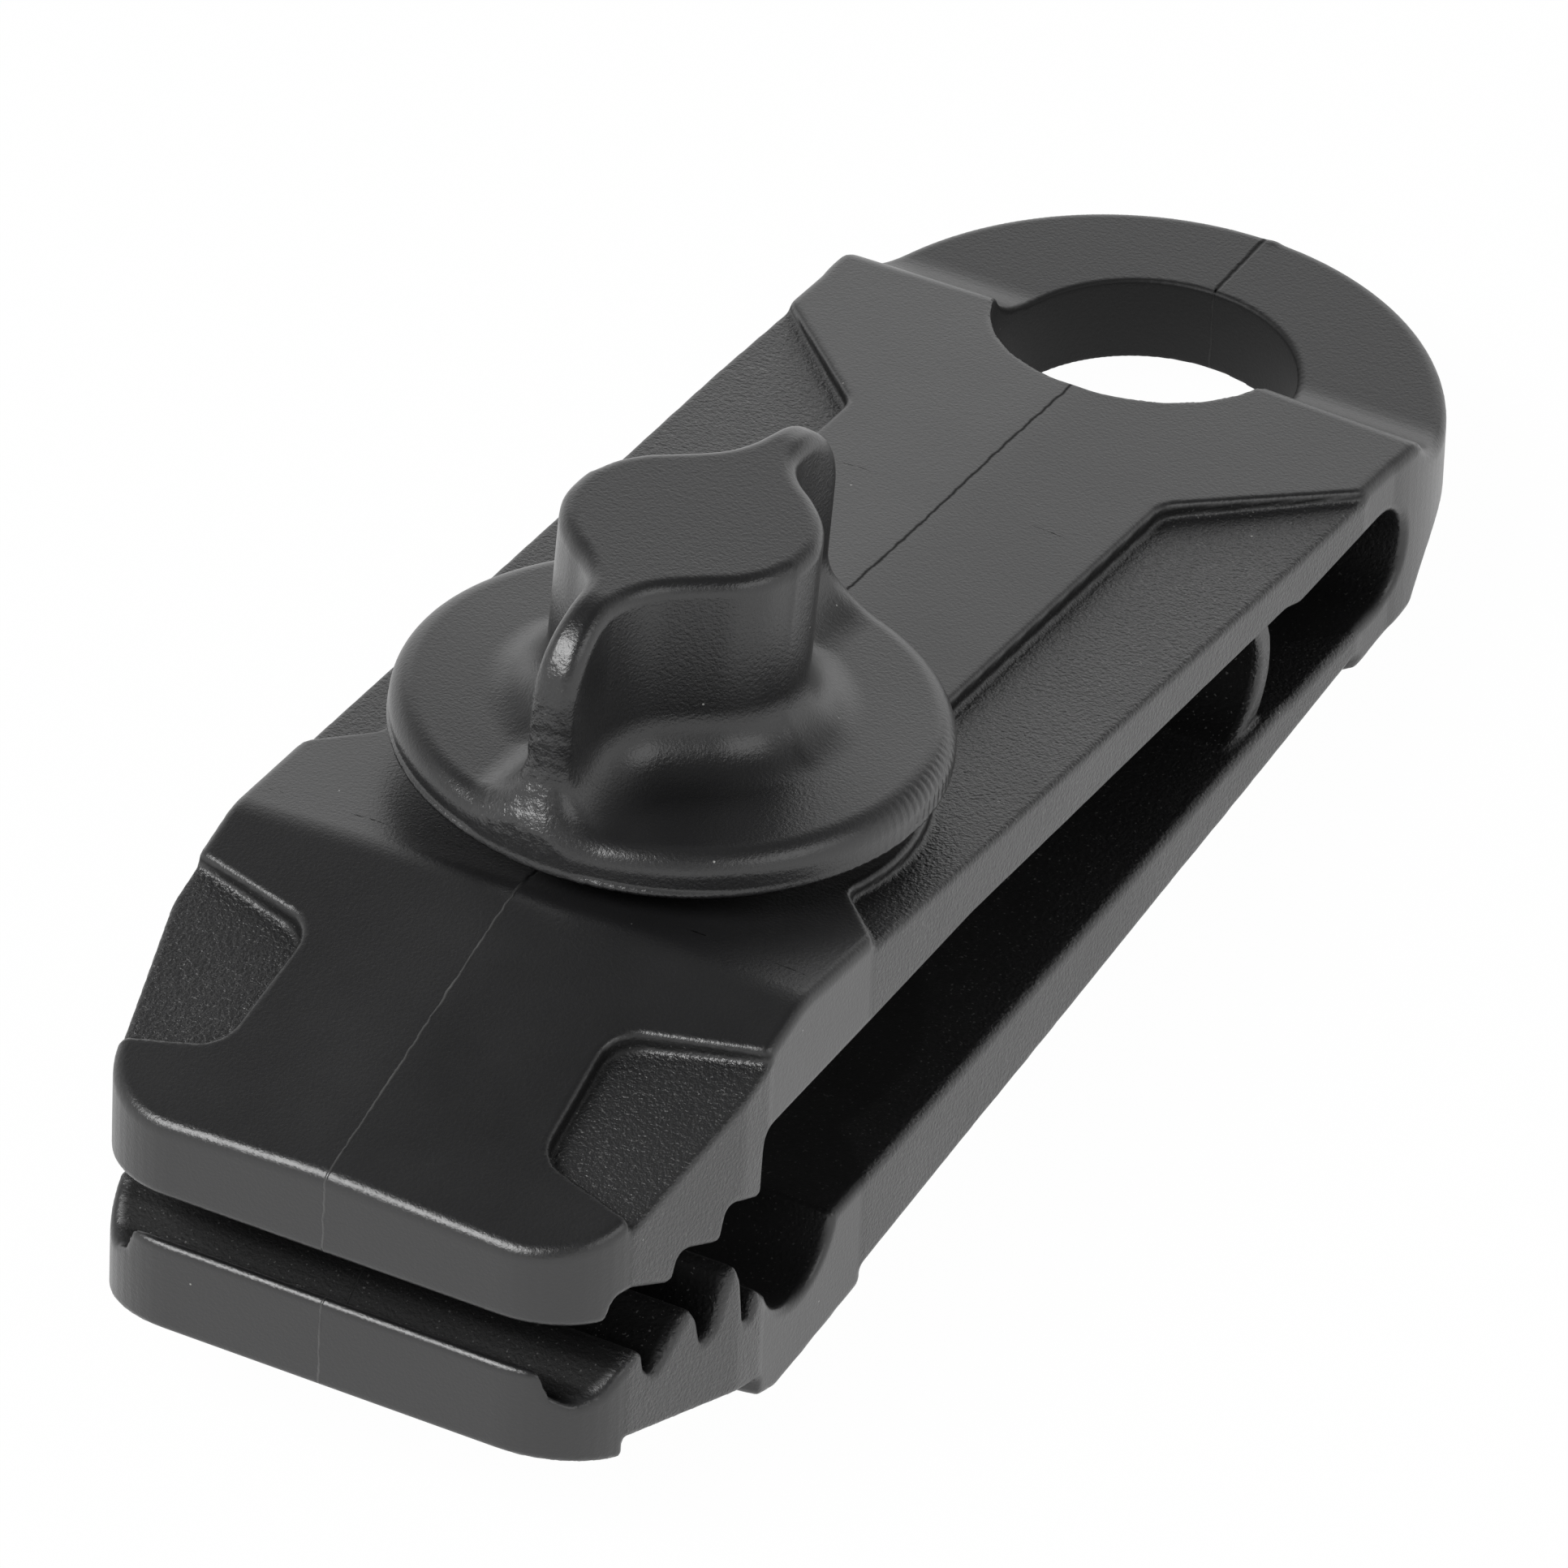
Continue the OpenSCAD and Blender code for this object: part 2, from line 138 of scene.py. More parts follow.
def outline_distance(u: Array, v: Array, outline: Array) -> Array:
    """Signed distance from points (u, v) to a closed outline, negative inside it.

    The distance is the least of those to the outline's stretches, and a point is inside when a
    ray from it crosses them an odd number of times.

    Args:
        u: first coordinates of the points.
        v: second coordinates, which broadcast against the first.
        outline: the outline's (n, 2) points.

    Returns:
        The distances.
    """
    u, v = np.broadcast_arrays(u, v)
    best = np.full(u.shape, 1e9)
    inside = np.zeros(u.shape, bool)
    for (ax, ay), (bx, by) in zip(outline, np.roll(outline, -1, 0)):
        ex, ey = bx - ax, by - ay
        length = ex * ex + ey * ey
        if length < 1e-12:
            continue
        wx, wy = u - ax, v - ay
        t = np.clip((wx * ex + wy * ey) / length, 0, 1)
        best = np.minimum(best, (wx - ex * t) ** 2 + (wy - ey * t) ** 2)
        if ay != by:
            crosses = ((ay > v) != (by > v)) & (u < ex * (v - ay) / ey + ax)
            inside ^= crosses
    best = np.sqrt(best)
    return np.where(inside, -best, best)


def both(a: Array, b: Array, r: float = 0.0) -> Array:
    """What lies in a and in b, the edge between them rounded.

    Args:
        a, b: signed distances.
        r: the edge's radius.

    Returns:
        The signed distance to what a and b share.
    """
    if r <= 0:
        return np.maximum(a, b)
    return np.minimum(np.maximum(a, b), -r) + np.hypot(np.maximum(a + r, 0), np.maximum(b + r, 0))


def either(a: Array, b: Array, r: float = 0.0) -> Array:
    """What lies in a or in b, the corner between them filled to radius r."""
    return -both(-a, -b, r)


def crease(a: Array, b: Array, k: float) -> Array:
    """What lies under two slopes a and b, their shallow crease softened where they differ by under k."""
    return np.maximum(a, b) + np.maximum(k - np.abs(a - b), 0) ** 2 / (4 * k)


def without(a: Array, b: Array, r: float = 0.0) -> Array:
    """What lies in a and not in b, the edge between them rounded to radius r."""
    return both(a, -b, r)


def rise(value: Array, start: float, end: float) -> Array:
    """0 up to start and 1 from end on, in a straight line between them."""
    return np.clip((value - start) / (end - start), 0, 1)


def grain(x: Array, y: Array, z: Array, size: float, seed: int, waves: int = 6) -> Array:
    """Smooth noise from about -1 to 1: sine waves of random direction, summed.

    Args:
        x, y, z: broadcast places in mm.
        size: about how long a wave is, in mm.
        seed: what the directions are drawn from.
        waves: how many waves there are.

    Returns:
        The noise at each place.
    """
    rng = np.random.default_rng(seed)
    total = 0.0
    for _ in range(waves):
        k = rng.normal(size=3)
        k *= 2 * math.pi / (size * np.linalg.norm(k)) * rng.uniform(0.7, 1.4)
        total = total + np.sin(k[0] * x + k[1] * y + k[2] * z + rng.uniform(0, 6.28))
    return total / 4


# Surfaces


@dataclass
class Net:
    """A closed surface of four-sided faces, with the grid cell that each vertex lies in."""

    points: Array
    normals: Array
    quads: Array
    cells: Array

    def part(self, chosen: Array) -> tuple[Array, Array, list]:
        """The chosen faces as a closed shell: each open rim gets one flat face.

        Args:
            chosen: true for each face that belongs to the part.

        Returns:
            The part's vertices, their normals, and its faces.
        """
        quads = self.quads[chosen]
        used, quads = np.unique(quads, return_inverse=True)
        quads = quads.reshape(-1, 4)
        a, b = quads.ravel(), np.roll(quads, -1, 1).ravel()
        n = len(used)
        key, back = a.astype(np.int64) * n + b, b.astype(np.int64) * n + a
        rim = ~np.isin(key, back)
        follow = dict(zip(b[rim].tolist(), a[rim].tolist()))
        faces = quads.tolist()
        while follow:
            start, loop = next(iter(follow)), []
            at = start
            while at in follow:
                loop.append(at)
                at = follow.pop(at)
            if len(loop) > 2:
                faces.append(loop)
        return self.points[used], self.normals[used], faces


def sample(values: Array, where: Array) -> Array:
    """Values between grid points, by blending the eight corners of each cell.

    Args:
        values: the grid.
        where: (n, 3) places, in grid steps.

    Returns:
        The n values.
    """
    base = np.clip(np.floor(where).astype(int), 0, np.array(values.shape) - 2)
    f = where - base
    total = 0.0
    for corner in np.ndindex(2, 2, 2):
        weight = np.prod(np.where(np.array(corner) == 1, f, 1 - f), axis=1)
        i, j, k = (base + corner).T
        total = total + weight * values[i, j, k]
    return total


def net_of(values: Array, origin: Array, step: float) -> Net:
    """The surface on which a grid of signed distances is zero.

    A moulding with through slots and pockets isn't a function of two parameters, so its solid
    is a signed distance over space, meshed in whole arrays. Each grid cell that the surface
    crosses gets a vertex, at the mean of the crossings on its edges, and each grid edge that it
    crosses gets a face through the four cells round it. The vertices are then moved three times
    along the distance's slope, towards zero.

    Args:
        values: signed distances in mm, negative inside.
        origin: place of values[0, 0, 0], in mm.
        step: grid spacing in mm.

    Returns:
        The net, its points in mm.
    """
    inside = values < 0
    shape = np.array(values.shape) - 1
    corners = [inside[a:a + shape[0], b:b + shape[1], c:c + shape[2]] for a, b, c in np.ndindex(2, 2, 2)]
    count = np.sum(corners, axis=0, dtype=np.int8)
    active = np.argwhere((count > 0) & (count < 8))
    index = np.full(tuple(shape), -1, np.int32)
    index[tuple(active.T)] = np.arange(len(active))
    total, hits = np.zeros((len(active), 3)), np.zeros(len(active))
    for axis in range(3):
        for a, b in np.ndindex(2, 2):
            low = np.insert(np.array([a, b]), axis, 0)
            high = low + np.eye(3, dtype=int)[axis]
            va, vb = values[tuple((active + low).T)], values[tuple((active + high).T)]
            cross = (va < 0) != (vb < 0)
            t = np.where(cross, va / np.where(cross, va - vb, 1), 0)
            total += np.where(cross[:, None], low + t[:, None] * (high - low), 0)
            hits += cross
    where = active + total / hits[:, None]
    for turn in range(4):
        slope = np.stack([
            sample(values, where + np.eye(3)[k] * 0.5) - sample(values, where - np.eye(3)[k] * 0.5)
            for k in range(3)], 1)
        if turn < 3:
            steep = np.maximum((slope ** 2).sum(1), 0.2 * step ** 2)
            move = sample(values, where)[:, None] * slope / steep[:, None]
            where = np.clip(where - np.clip(move, -0.4, 0.4), active - 0.1, active + 1.1)
    faces = []
    for axis in range(3):
        u, v = [k for k in range(3) if k != axis]
        first = np.take(inside, range(inside.shape[axis] - 1), axis)
        second = np.take(inside, range(1, inside.shape[axis]), axis)
        edges = np.argwhere(first != second)
        edges = edges[
            (edges[:, u] > 0) & (edges[:, v] > 0) & (edges[:, u] < shape[u]) & (edges[:, v] < shape[v])]
        ring = []
        for du, dv in ((1, 1), (0, 1), (0, 0), (1, 0)):
            cell = edges.copy()
            cell[:, u] -= du
            cell[:, v] -= dv
            ring.append(index[tuple(cell.T)])
        quad = np.stack(ring, 1)
        flip = inside[tuple(edges.T)] == (axis == 1)
        quad[flip] = quad[flip][:, ::-1]
        faces.append(quad)
    return Net(origin + step * where, slope, np.concatenate(faces), active)


def net_in_box(solid: Callable[..., Array], low: Array, high: Array, step: float) -> Net:
    """The surface of a solid, from its signed distance at each point of a grid.

    Args:
        solid: a function of broadcast x, y and z in mm.
        low: the grid's lowest corner.
        high: its highest corner.
        step: its spacing in mm.

    Returns:
        The net.
    """
    count = np.ceil((high - low) / step).astype(int)
    x, y, z = (
        (low[k] + step * np.arange(count[k])).reshape([-1 if k == a else 1 for a in range(3)])
        for k in range(3))
    return net_of(solid(x, y, z).astype(np.float32), low, step)


@dataclass(frozen=True)
class Clip:
    """The clip's main sizes, in mm and degrees, the same as the frame's."""

    body_w: float = 29.4
    corner_r: float = 4.6
    arm_angle: float = 5.46
    nose_angle: float = 15.3
    nose_l: float = 17.2
    low_nose_angle: float = 17.1
    low_nose_l: float = 15.8
    plate_l: float = 76.0
    back_h: float = 5.2
    draft: float = 2.57
    hole_r: float = 7.16
    hole_y: float = 77.8
    ring_r: float = 15.2
    ring_y: float = 75.3
    ring_t: float = 4.4
    screw_y: float = 30.2
    screw_tilt: float = 1.7
    screw_lean: float = 2.4

    @property
    def low_back_h(self) -> float:
        """Depth of the lower plate at its rear end."""
        return self.back_h - self.body_w / 2 * math.tan(math.radians(self.draft))

    def lay_flat(self, points: Array) -> Array:
        """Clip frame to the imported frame, turned onto the lower plate and centred.

        Args:
            points: (n, 3) places in mm.

        Returns:
            The same places in metres.
        """
        t = math.radians(self.arm_angle)
        c, s = math.cos(t), math.sin(t)
        low_nose = self.low_back_h + (self.plate_l - self.low_nose_l) * math.tan(t)
        lip = low_nose - self.low_nose_l * math.tan(math.radians(self.low_nose_angle))
        rear = (self.ring_y + self.ring_r) * c + self.ring_t / 2 * s
        shift = np.array([0, -(rear - lip * s) / 2, self.plate_l * s + self.low_back_h * c])
        turn = np.array([[1, 0, 0], [0, c, s], [0, -s, c]])
        return (points @ turn.T + shift) * MM

    def on_screw(self, points: Array) -> Array:
        """Screw frame to clip frame: leaned across, tilted back and moved to the screw's place.

        Args:
            points: (n, 3) places in mm, z along the screw.

        Returns:
            The same places in the clip frame.
        """
        t, n = math.radians(self.screw_tilt), math.radians(self.screw_lean)
        lean = np.array([[math.cos(n), 0, math.sin(n)], [0, 1, 0], [-math.sin(n), 0, math.cos(n)]])
        tilt = np.array([[1, 0, 0], [0, math.cos(t), math.sin(t)], [0, -math.sin(t), math.cos(t)]])
        return points @ (tilt @ lean).T + np.array([0, self.screw_y, 0])

    def in_screw(self, x: Array, y: Array, z: Array) -> tuple[Array, Array, Array]:
        """Clip frame to screw frame.

        Args:
            x, y, z: broadcast places in mm.

        Returns:
            Their three coordinates in the screw frame.
        """
        axes = self.on_screw(np.eye(3)) - np.array([0, self.screw_y, 0])
        y = y - self.screw_y
        return tuple(x * a[0] + y * a[1] + z * a[2] for a in axes)


CLIP = Clip()


def make(
        name: str, points: Array, faces: list, masks: dict[str, Array] | None = None,
        normals: Array | None = None) -> bpy.types.Object:
    """A mesh object in the scene, smooth but for the flat faces that close its cut ends.

    Args:
        name: the piece's name.
        points: (n, 3) vertices in metres, where they stay.
        faces: vertex numbers of each face.
        masks: named values, one for each vertex, for the material to read.
        normals: directions at the vertices, where the faces' own wouldn't match over a cut.

    Returns:
        The object.
    """
    mesh = bpy.data.meshes.new(name)
    mesh.from_pydata(points.tolist(), [], faces)
    mesh.validate()
    corners = np.zeros(len(mesh.polygons), np.int32)
    mesh.polygons.foreach_get("loop_total", corners)
    mesh.polygons.foreach_set("use_smooth", corners <= 4)
    for key, value in (masks or {}).items():
        mesh.attributes.new(key, "FLOAT", "POINT").data.foreach_set("value", value.astype(np.float32))
    if normals is not None:
        unit = normals / np.linalg.norm(normals, axis=1)[:, None]
        mesh.normals_split_custom_set_from_vertices(unit.tolist())
    piece = bpy.data.objects.new(name, mesh)
    bpy.context.scene.collection.objects.link(piece)
    return piece


@dataclass
class Moulding:
    """The one-piece body: both arms, their teeth, the web, the rear block and the eyelet.

    flash is the place and radius of the burr at the ring's end.
    """

    clip: Clip = CLIP
    step: float = 0.2
    edge_r: float = 0.52
    low_edge_r: float = 0.25
    hole_edge_r: float = 0.15
    ring_edge_r: float = 0.6
    ring_out_r: float = 15.1
    ring_out_at: tuple = (0.1, 75.4)
    roof_soft: float = 0.25
    low_roof_soft: float = 0.08
    step_r: float = 5.0
    step_end: float = 80.6
    side_half: float = 15.0
    nose_half: float = 14.45
    shelf_depth: float = 0.82
    dent_depth: float = 0.93
    mouth_r: float = 0.4
    recess_mouth_r: float = 0.28
    recess_foot_r: float = 0.22
    strip_w: float = 8.1
    dent_in: float = 7.7
    pad_r: float = 12.35
    boss_r: float = 9.36
    boss_from_y: float = 60.0
    web_y: float = 59.1
    web_z: float = 0.35
    web_mid_r: float = 3.6
    web_half_t: float = 0.6
    web_half_w: float = 14.3
    web_half_h: float = 4.2
    flash: tuple = (0.45, 90.05, 1.85, 0.36)
    screw_hole_r: float = 3.0
    pocket_af: float = 8.3
    pocket_top: float = 5.0
    span_y: float = 19.0
    back_y: float = 58.3

    def plan(self) -> Array:
        """Outline from above.

        Returns:
            Points round the front corners, the tapering sides and the ring's half circle.
        """
        c, half, nose = self.clip, self.side_half, self.nose_half
        meet = math.degrees(math.acos(half / self.ring_out_r))
        ring = [(x, y, 0.0) for x, y in arc(*self.ring_out_at, self.ring_out_r, -meet, 180 + meet, 70)]
        return rounded(
            [(-11.6, 0, c.corner_r), (12.78, 0, c.corner_r), (nose, 12, 4), (half, 63.8, 20)]
            + ring + [(-half, 63.8, 20), (-nose, 12, 4)], 10)

    def hollow(self) -> Array:
        """Side outline of the mouth, the slot and the rear pocket.

        Returns:
            Points (y, z) along both rows of teeth and the slot.
        """
        upper = [
            (-3, 2.3, 0), (2.6, 1.4, 0.5), (2.95, 2.6, 0.45), (4.0, 2.5, 0.6), (6.95, 1.0, 0.4),
            (7.4, 2.3, 0.4), (8.2, 2.15, 0.5), (10.5, 1.1, 0.4), (10.95, 2.7, 0.4), (11.6, 2.6, 0.5),
            (13.8, 1.55, 0.3), (14.05, 4.95, 0.6), (33, 4.85, 8), (63.2, 2.95, 1.5), (64.6, 2.45, 1),
        ]
        lower = [
            (64.4, -2.75, 1), (63, -2.62, 1), (20.75, -3.93, 0.3),
        ] + [(y, z, 0.0) for y, z in arc(17.6, -3.3, 3.2, -12, -160, 20)] + [
            (13.75, -3.55, 0.2), (13.2, -4.75, 0.3), (12.6, -4.5, 0.3), (12.25, -2.0, 0.5),
            (11.75, -0.8, 0.45), (11.2, -1.3, 0.4), (10.3, -3.5, 0.5), (9.35, -3.75, 0.3),
            (8.95, -2.1, 0.4), (8.35, -1.15, 0.4), (6.6, -2.65, 1), (5.75, -3.3, 0.4), (5.15, -2.6, 0.3),
            (4.95, -1.6, 0.3), (4.5, -1.25, 0.35), (3.4, -1.75, 1), (2.3, -2.5, 0.8), (1.4, -2.75, 0.5),
            (0.85, -2.2, 0.4), (0.6, -0.75, 0.3), (-3, -0.75, 0),
        ]
        end = [(y, z, 0.0) for y, z in arc(72.4, -0.15, 2.6, 90, -90, 14)]
        return rounded(upper + end + lower)

    def step_down(self) -> Array:
        """Side outline of what is cut away over the ring.

        Returns:
            Points (y, z) down a hollow step at the plate and out past the ring.
        """
        low, r, end = self.clip.ring_t / 2, self.step_r, self.step_end
        foot = [(y, z, 0.0) for y, z in arc(end, low + r, r, 190, 270)]
        return rounded([(foot[0][0], 30, 0)] + foot + [(120, low, 0), (120, 30, 0)])

    def shelf(self, x: Array, y: Array) -> Array:
        """Plan of the side shelves, which go round the knob's pad.

        Args:
            x, y: broadcast places across and along the clip.

        Returns:
            Their signed distance to it.
        """
        area = rounded([(18, 20.15, 0), (self.strip_w, 29.95, 0), (self.strip_w, 63.8, 1.8), (18, 73.7, 0)])
        pad = self.pad_r - np.hypot(x, y - self.clip.screw_y)
        return both(outline_distance(np.abs(x), y, area), pad, 0.5)

    def dent(self, x: Array, y: Array) -> Array:
        """Distance to a nose recess's plan."""
        area = rounded([(19, 2.2, 0), (8.0, 5.05, 1.7), (7.6, 12.3, 1.7), (19, 15.35, 0)])
        return outline_distance(np.abs(x), y, area)

    def skin(self, y: Array, z: Array, back_h: Array, nose_l: float, nose_angle: float, soft: float) -> Array:
        """Distance over a plate and its nose, two slopes that meet in a soft crease.

        Args:
            y: distance from the lips.
            z: height over the mid-plane.
            back_h: height of the plate at its rear end, which may change across the clip.
            nose_l: distance from the lips to the crease.
            nose_angle: slope of the nose in degrees.
            soft: how far apart the two slopes still blend, in mm of height.

        Returns:
            The distance, negative under the plate.
        """
        c = self.clip
        slope, nose = math.tan(math.radians(c.arm_angle)), math.tan(math.radians(nose_angle))
        cos_a, cos_n = math.cos(math.radians(c.arm_angle)), math.cos(math.radians(nose_angle))
        plate = (z - (back_h + (c.plate_l - y) * slope)) * cos_a
        front = (z - (back_h + (c.plate_l - nose_l) * slope - (nose_l - y) * nose)) * cos_n
        return crease(plate, front, soft)

    def top(self, y: Array, z: Array, across: Array) -> Array:
        """The upper skin, which falls by the draft with the distance across.

        Args:
            y, z: broadcast places along the clip and up.
            across: distance from the middle, to either side.

        Returns:
            Their distance over it.
        """
        c = self.clip
        fall = across * math.tan(math.radians(c.draft))
        return self.skin(y, z, c.back_h - fall, c.nose_l, c.nose_angle, self.roof_soft)

    def bottom(self, y: Array, z: Array) -> Array:
        """Distance under the lower skin, which is level across."""
        c = self.clip
        return self.skin(y, -z, c.low_back_h, c.low_nose_l, c.low_nose_angle, self.low_roof_soft)

    def solid(self, x: Array, y: Array, z: Array) -> Array:
        """The whole moulding, each edge with its own rounding.

        Args:
            x, y, z: broadcast places in the clip frame.

        Returns:
            Their signed distance to it.
        """
        c = self.clip
        upper, lower = self.top(y, z, np.sqrt(x * x + 1) - 1), self.bottom(y, z)
        body = both(outline_distance(x, y, self.plan()), upper, self.edge_r)
        body = both(body, lower, self.low_edge_r)
        body = without(body, outline_distance(y, np.abs(z), self.step_down()), self.ring_edge_r)
        for area, inner, depth in (
                (self.shelf(x, y), self.strip_w, self.shelf_depth),
                (self.dent(x, y), self.dent_in, self.dent_depth)):
            for floor in (self.top(y, z, inner), lower):
                cut = both(area, -(floor + depth), self.recess_foot_r)
                body = without(body, cut, self.recess_mouth_r)
        boss = self.boss_r - np.hypot(x, y - c.hole_y)
        hollow = both(outline_distance(y, z, self.hollow()), np.where(y > self.boss_from_y, boss, -9.0), 0.5)
        body = without(body, hollow, self.mouth_r)
        web = np.abs(np.hypot(y - self.web_y, z - self.web_z) - self.web_mid_r) - self.web_half_t
        web = both(web, np.maximum(self.web_y - y, np.abs(z) - self.web_half_h), 0.0)
        web = both(web, np.abs(x) - self.web_half_w, 0.25)
        body = either(body, web, 0.15)
        fx, fy, fz, fr = self.flash
        body = either(body, np.sqrt((0.6 * (x - fx)) ** 2 + (y - fy) ** 2 + (z - fz) ** 2) - fr, 0.1)
        body = without(body, np.hypot(x, y - c.hole_y) - c.hole_r, self.hole_edge_r)
        sx, sy, sz = c.in_screw(x, y, z)
        body = without(body, np.hypot(sx, sy) - self.screw_hole_r, 0.25)
        hexagon = np.maximum(np.abs(sy), np.abs(sx) * math.cos(math.pi / 6) + np.abs(sy) / 2)
        return without(body, np.maximum(hexagon - self.pocket_af / 2, sz + self.pocket_top), 0.15)

    def masks(self, p: Array) -> dict[str, Array]:
        """What the plastic's material needs to know at each vertex.

        Args:
            p: (n, 3) vertices in the clip frame, in mm.

        Returns:
            "grainy", how far the mould was blasted there; "slot", how much painted shade goes there,
            in the slot, the mouth, the eyelet's bore and the recess sides; and "groove", 0 where the
            parting line stands proud, 1 or 2 where it is a narrow or wide groove.
        """
        x, y, z = p.T
        c, top = self.clip, self.top(y, z, np.abs(x))
        skin = np.maximum(top, self.bottom(y, z))
        shelf, dent = self.shelf(x, y), self.dent(x, y)
        deep = np.minimum(shelf, dent)
        floors = rise(deep, 0.2, -0.2) * rise(-skin, 0.15, 0.45)
        lift = np.where(
            shelf < dent, self.top(y, z, self.strip_w) + self.shelf_depth,
            self.top(y, z, self.dent_in) + self.dent_depth)
        # Painted shade on the recess sides, between rim and floor, and in a wider band along each nose
        # recess's inner side.
        wall_shade = rise(np.abs(deep), 0.21, 0.06) * rise(-top, 0.15, 0.25) * rise(lift, 0.15, 0.25)
        crevice_shade = rise(np.abs(dent), 0.32, 0.16) * rise(-top, 0.1, 0.2) * rise(np.abs(x), 9.4, 8.6)
        wall_shade = np.maximum(wall_shade, crevice_shade)
        wall = -outline_distance(x, y, self.plan())
        inside = rise(outline_distance(y, z, self.hollow()), 0.15, -0.15) * rise(wall, 0.2, 0.7)
        web = np.abs(np.hypot(y - self.web_y, z - self.web_z) - self.web_mid_r) < 0.8
        web = web & (y > self.web_y - 0.3) & (np.abs(x) > self.web_half_w - 0.4)
        bore = rise(np.hypot(x, y - c.hole_y) - c.hole_r, 0.3, 0.1) * rise(-skin, 0.2, 0.6)
        # Painted shade in the slot, most in the mouth, none on the web, and less in the eyelet's bore and on
        # the recess sides.
        mouth_shade = 1 + 0.9 * rise(y, 13, 11)
        painted_shade = inside * rise(wall, 0, 0.7) * mouth_shade * ~web
        painted_shade = np.maximum(painted_shade, np.maximum(bore * 0.8, wall_shade * 0.7))
        groove = (rise(y, c.nose_l, c.nose_l + 1) + rise(y, 84, 85)) * (1 - bore)
        return {"grainy": np.maximum(floors, inside), "slot": painted_shade, "groove": groove}

    def build(self) -> list[bpy.types.Object]:
        """Nets the moulding and parts it.

        Returns:
            Its five closed shells, which join without a seam.
        """
        low, high = np.array([-15.7, -0.7, -11.1]), np.array([15.7, 91.3, 11.5])
        net = net_in_box(self.solid, low, high, self.step)
        place = low + self.step * net.cells[net.quads]
        top = place[:, :, 2].mean(1) > 0
        end = place[:, :, 1].max(1)
        front, rear = end <= self.span_y, end > self.back_y
        parts = {
            "upper_nose": top & front, "upper_span": top & ~front & ~rear,
            "lower_nose": ~top & front, "lower_span": ~top & ~front & ~rear,
            "back_block": rear,
        }
        pieces = []
        for name, chosen in parts.items():
            points, slope, faces = net.part(chosen)
            placed = self.clip.lay_flat(points)
            normals = self.clip.lay_flat(points + slope) - placed
            pieces.append(make(name, placed, faces, self.masks(points), normals))
            LOG.info("%s: %d faces", name, len(faces))
        return pieces


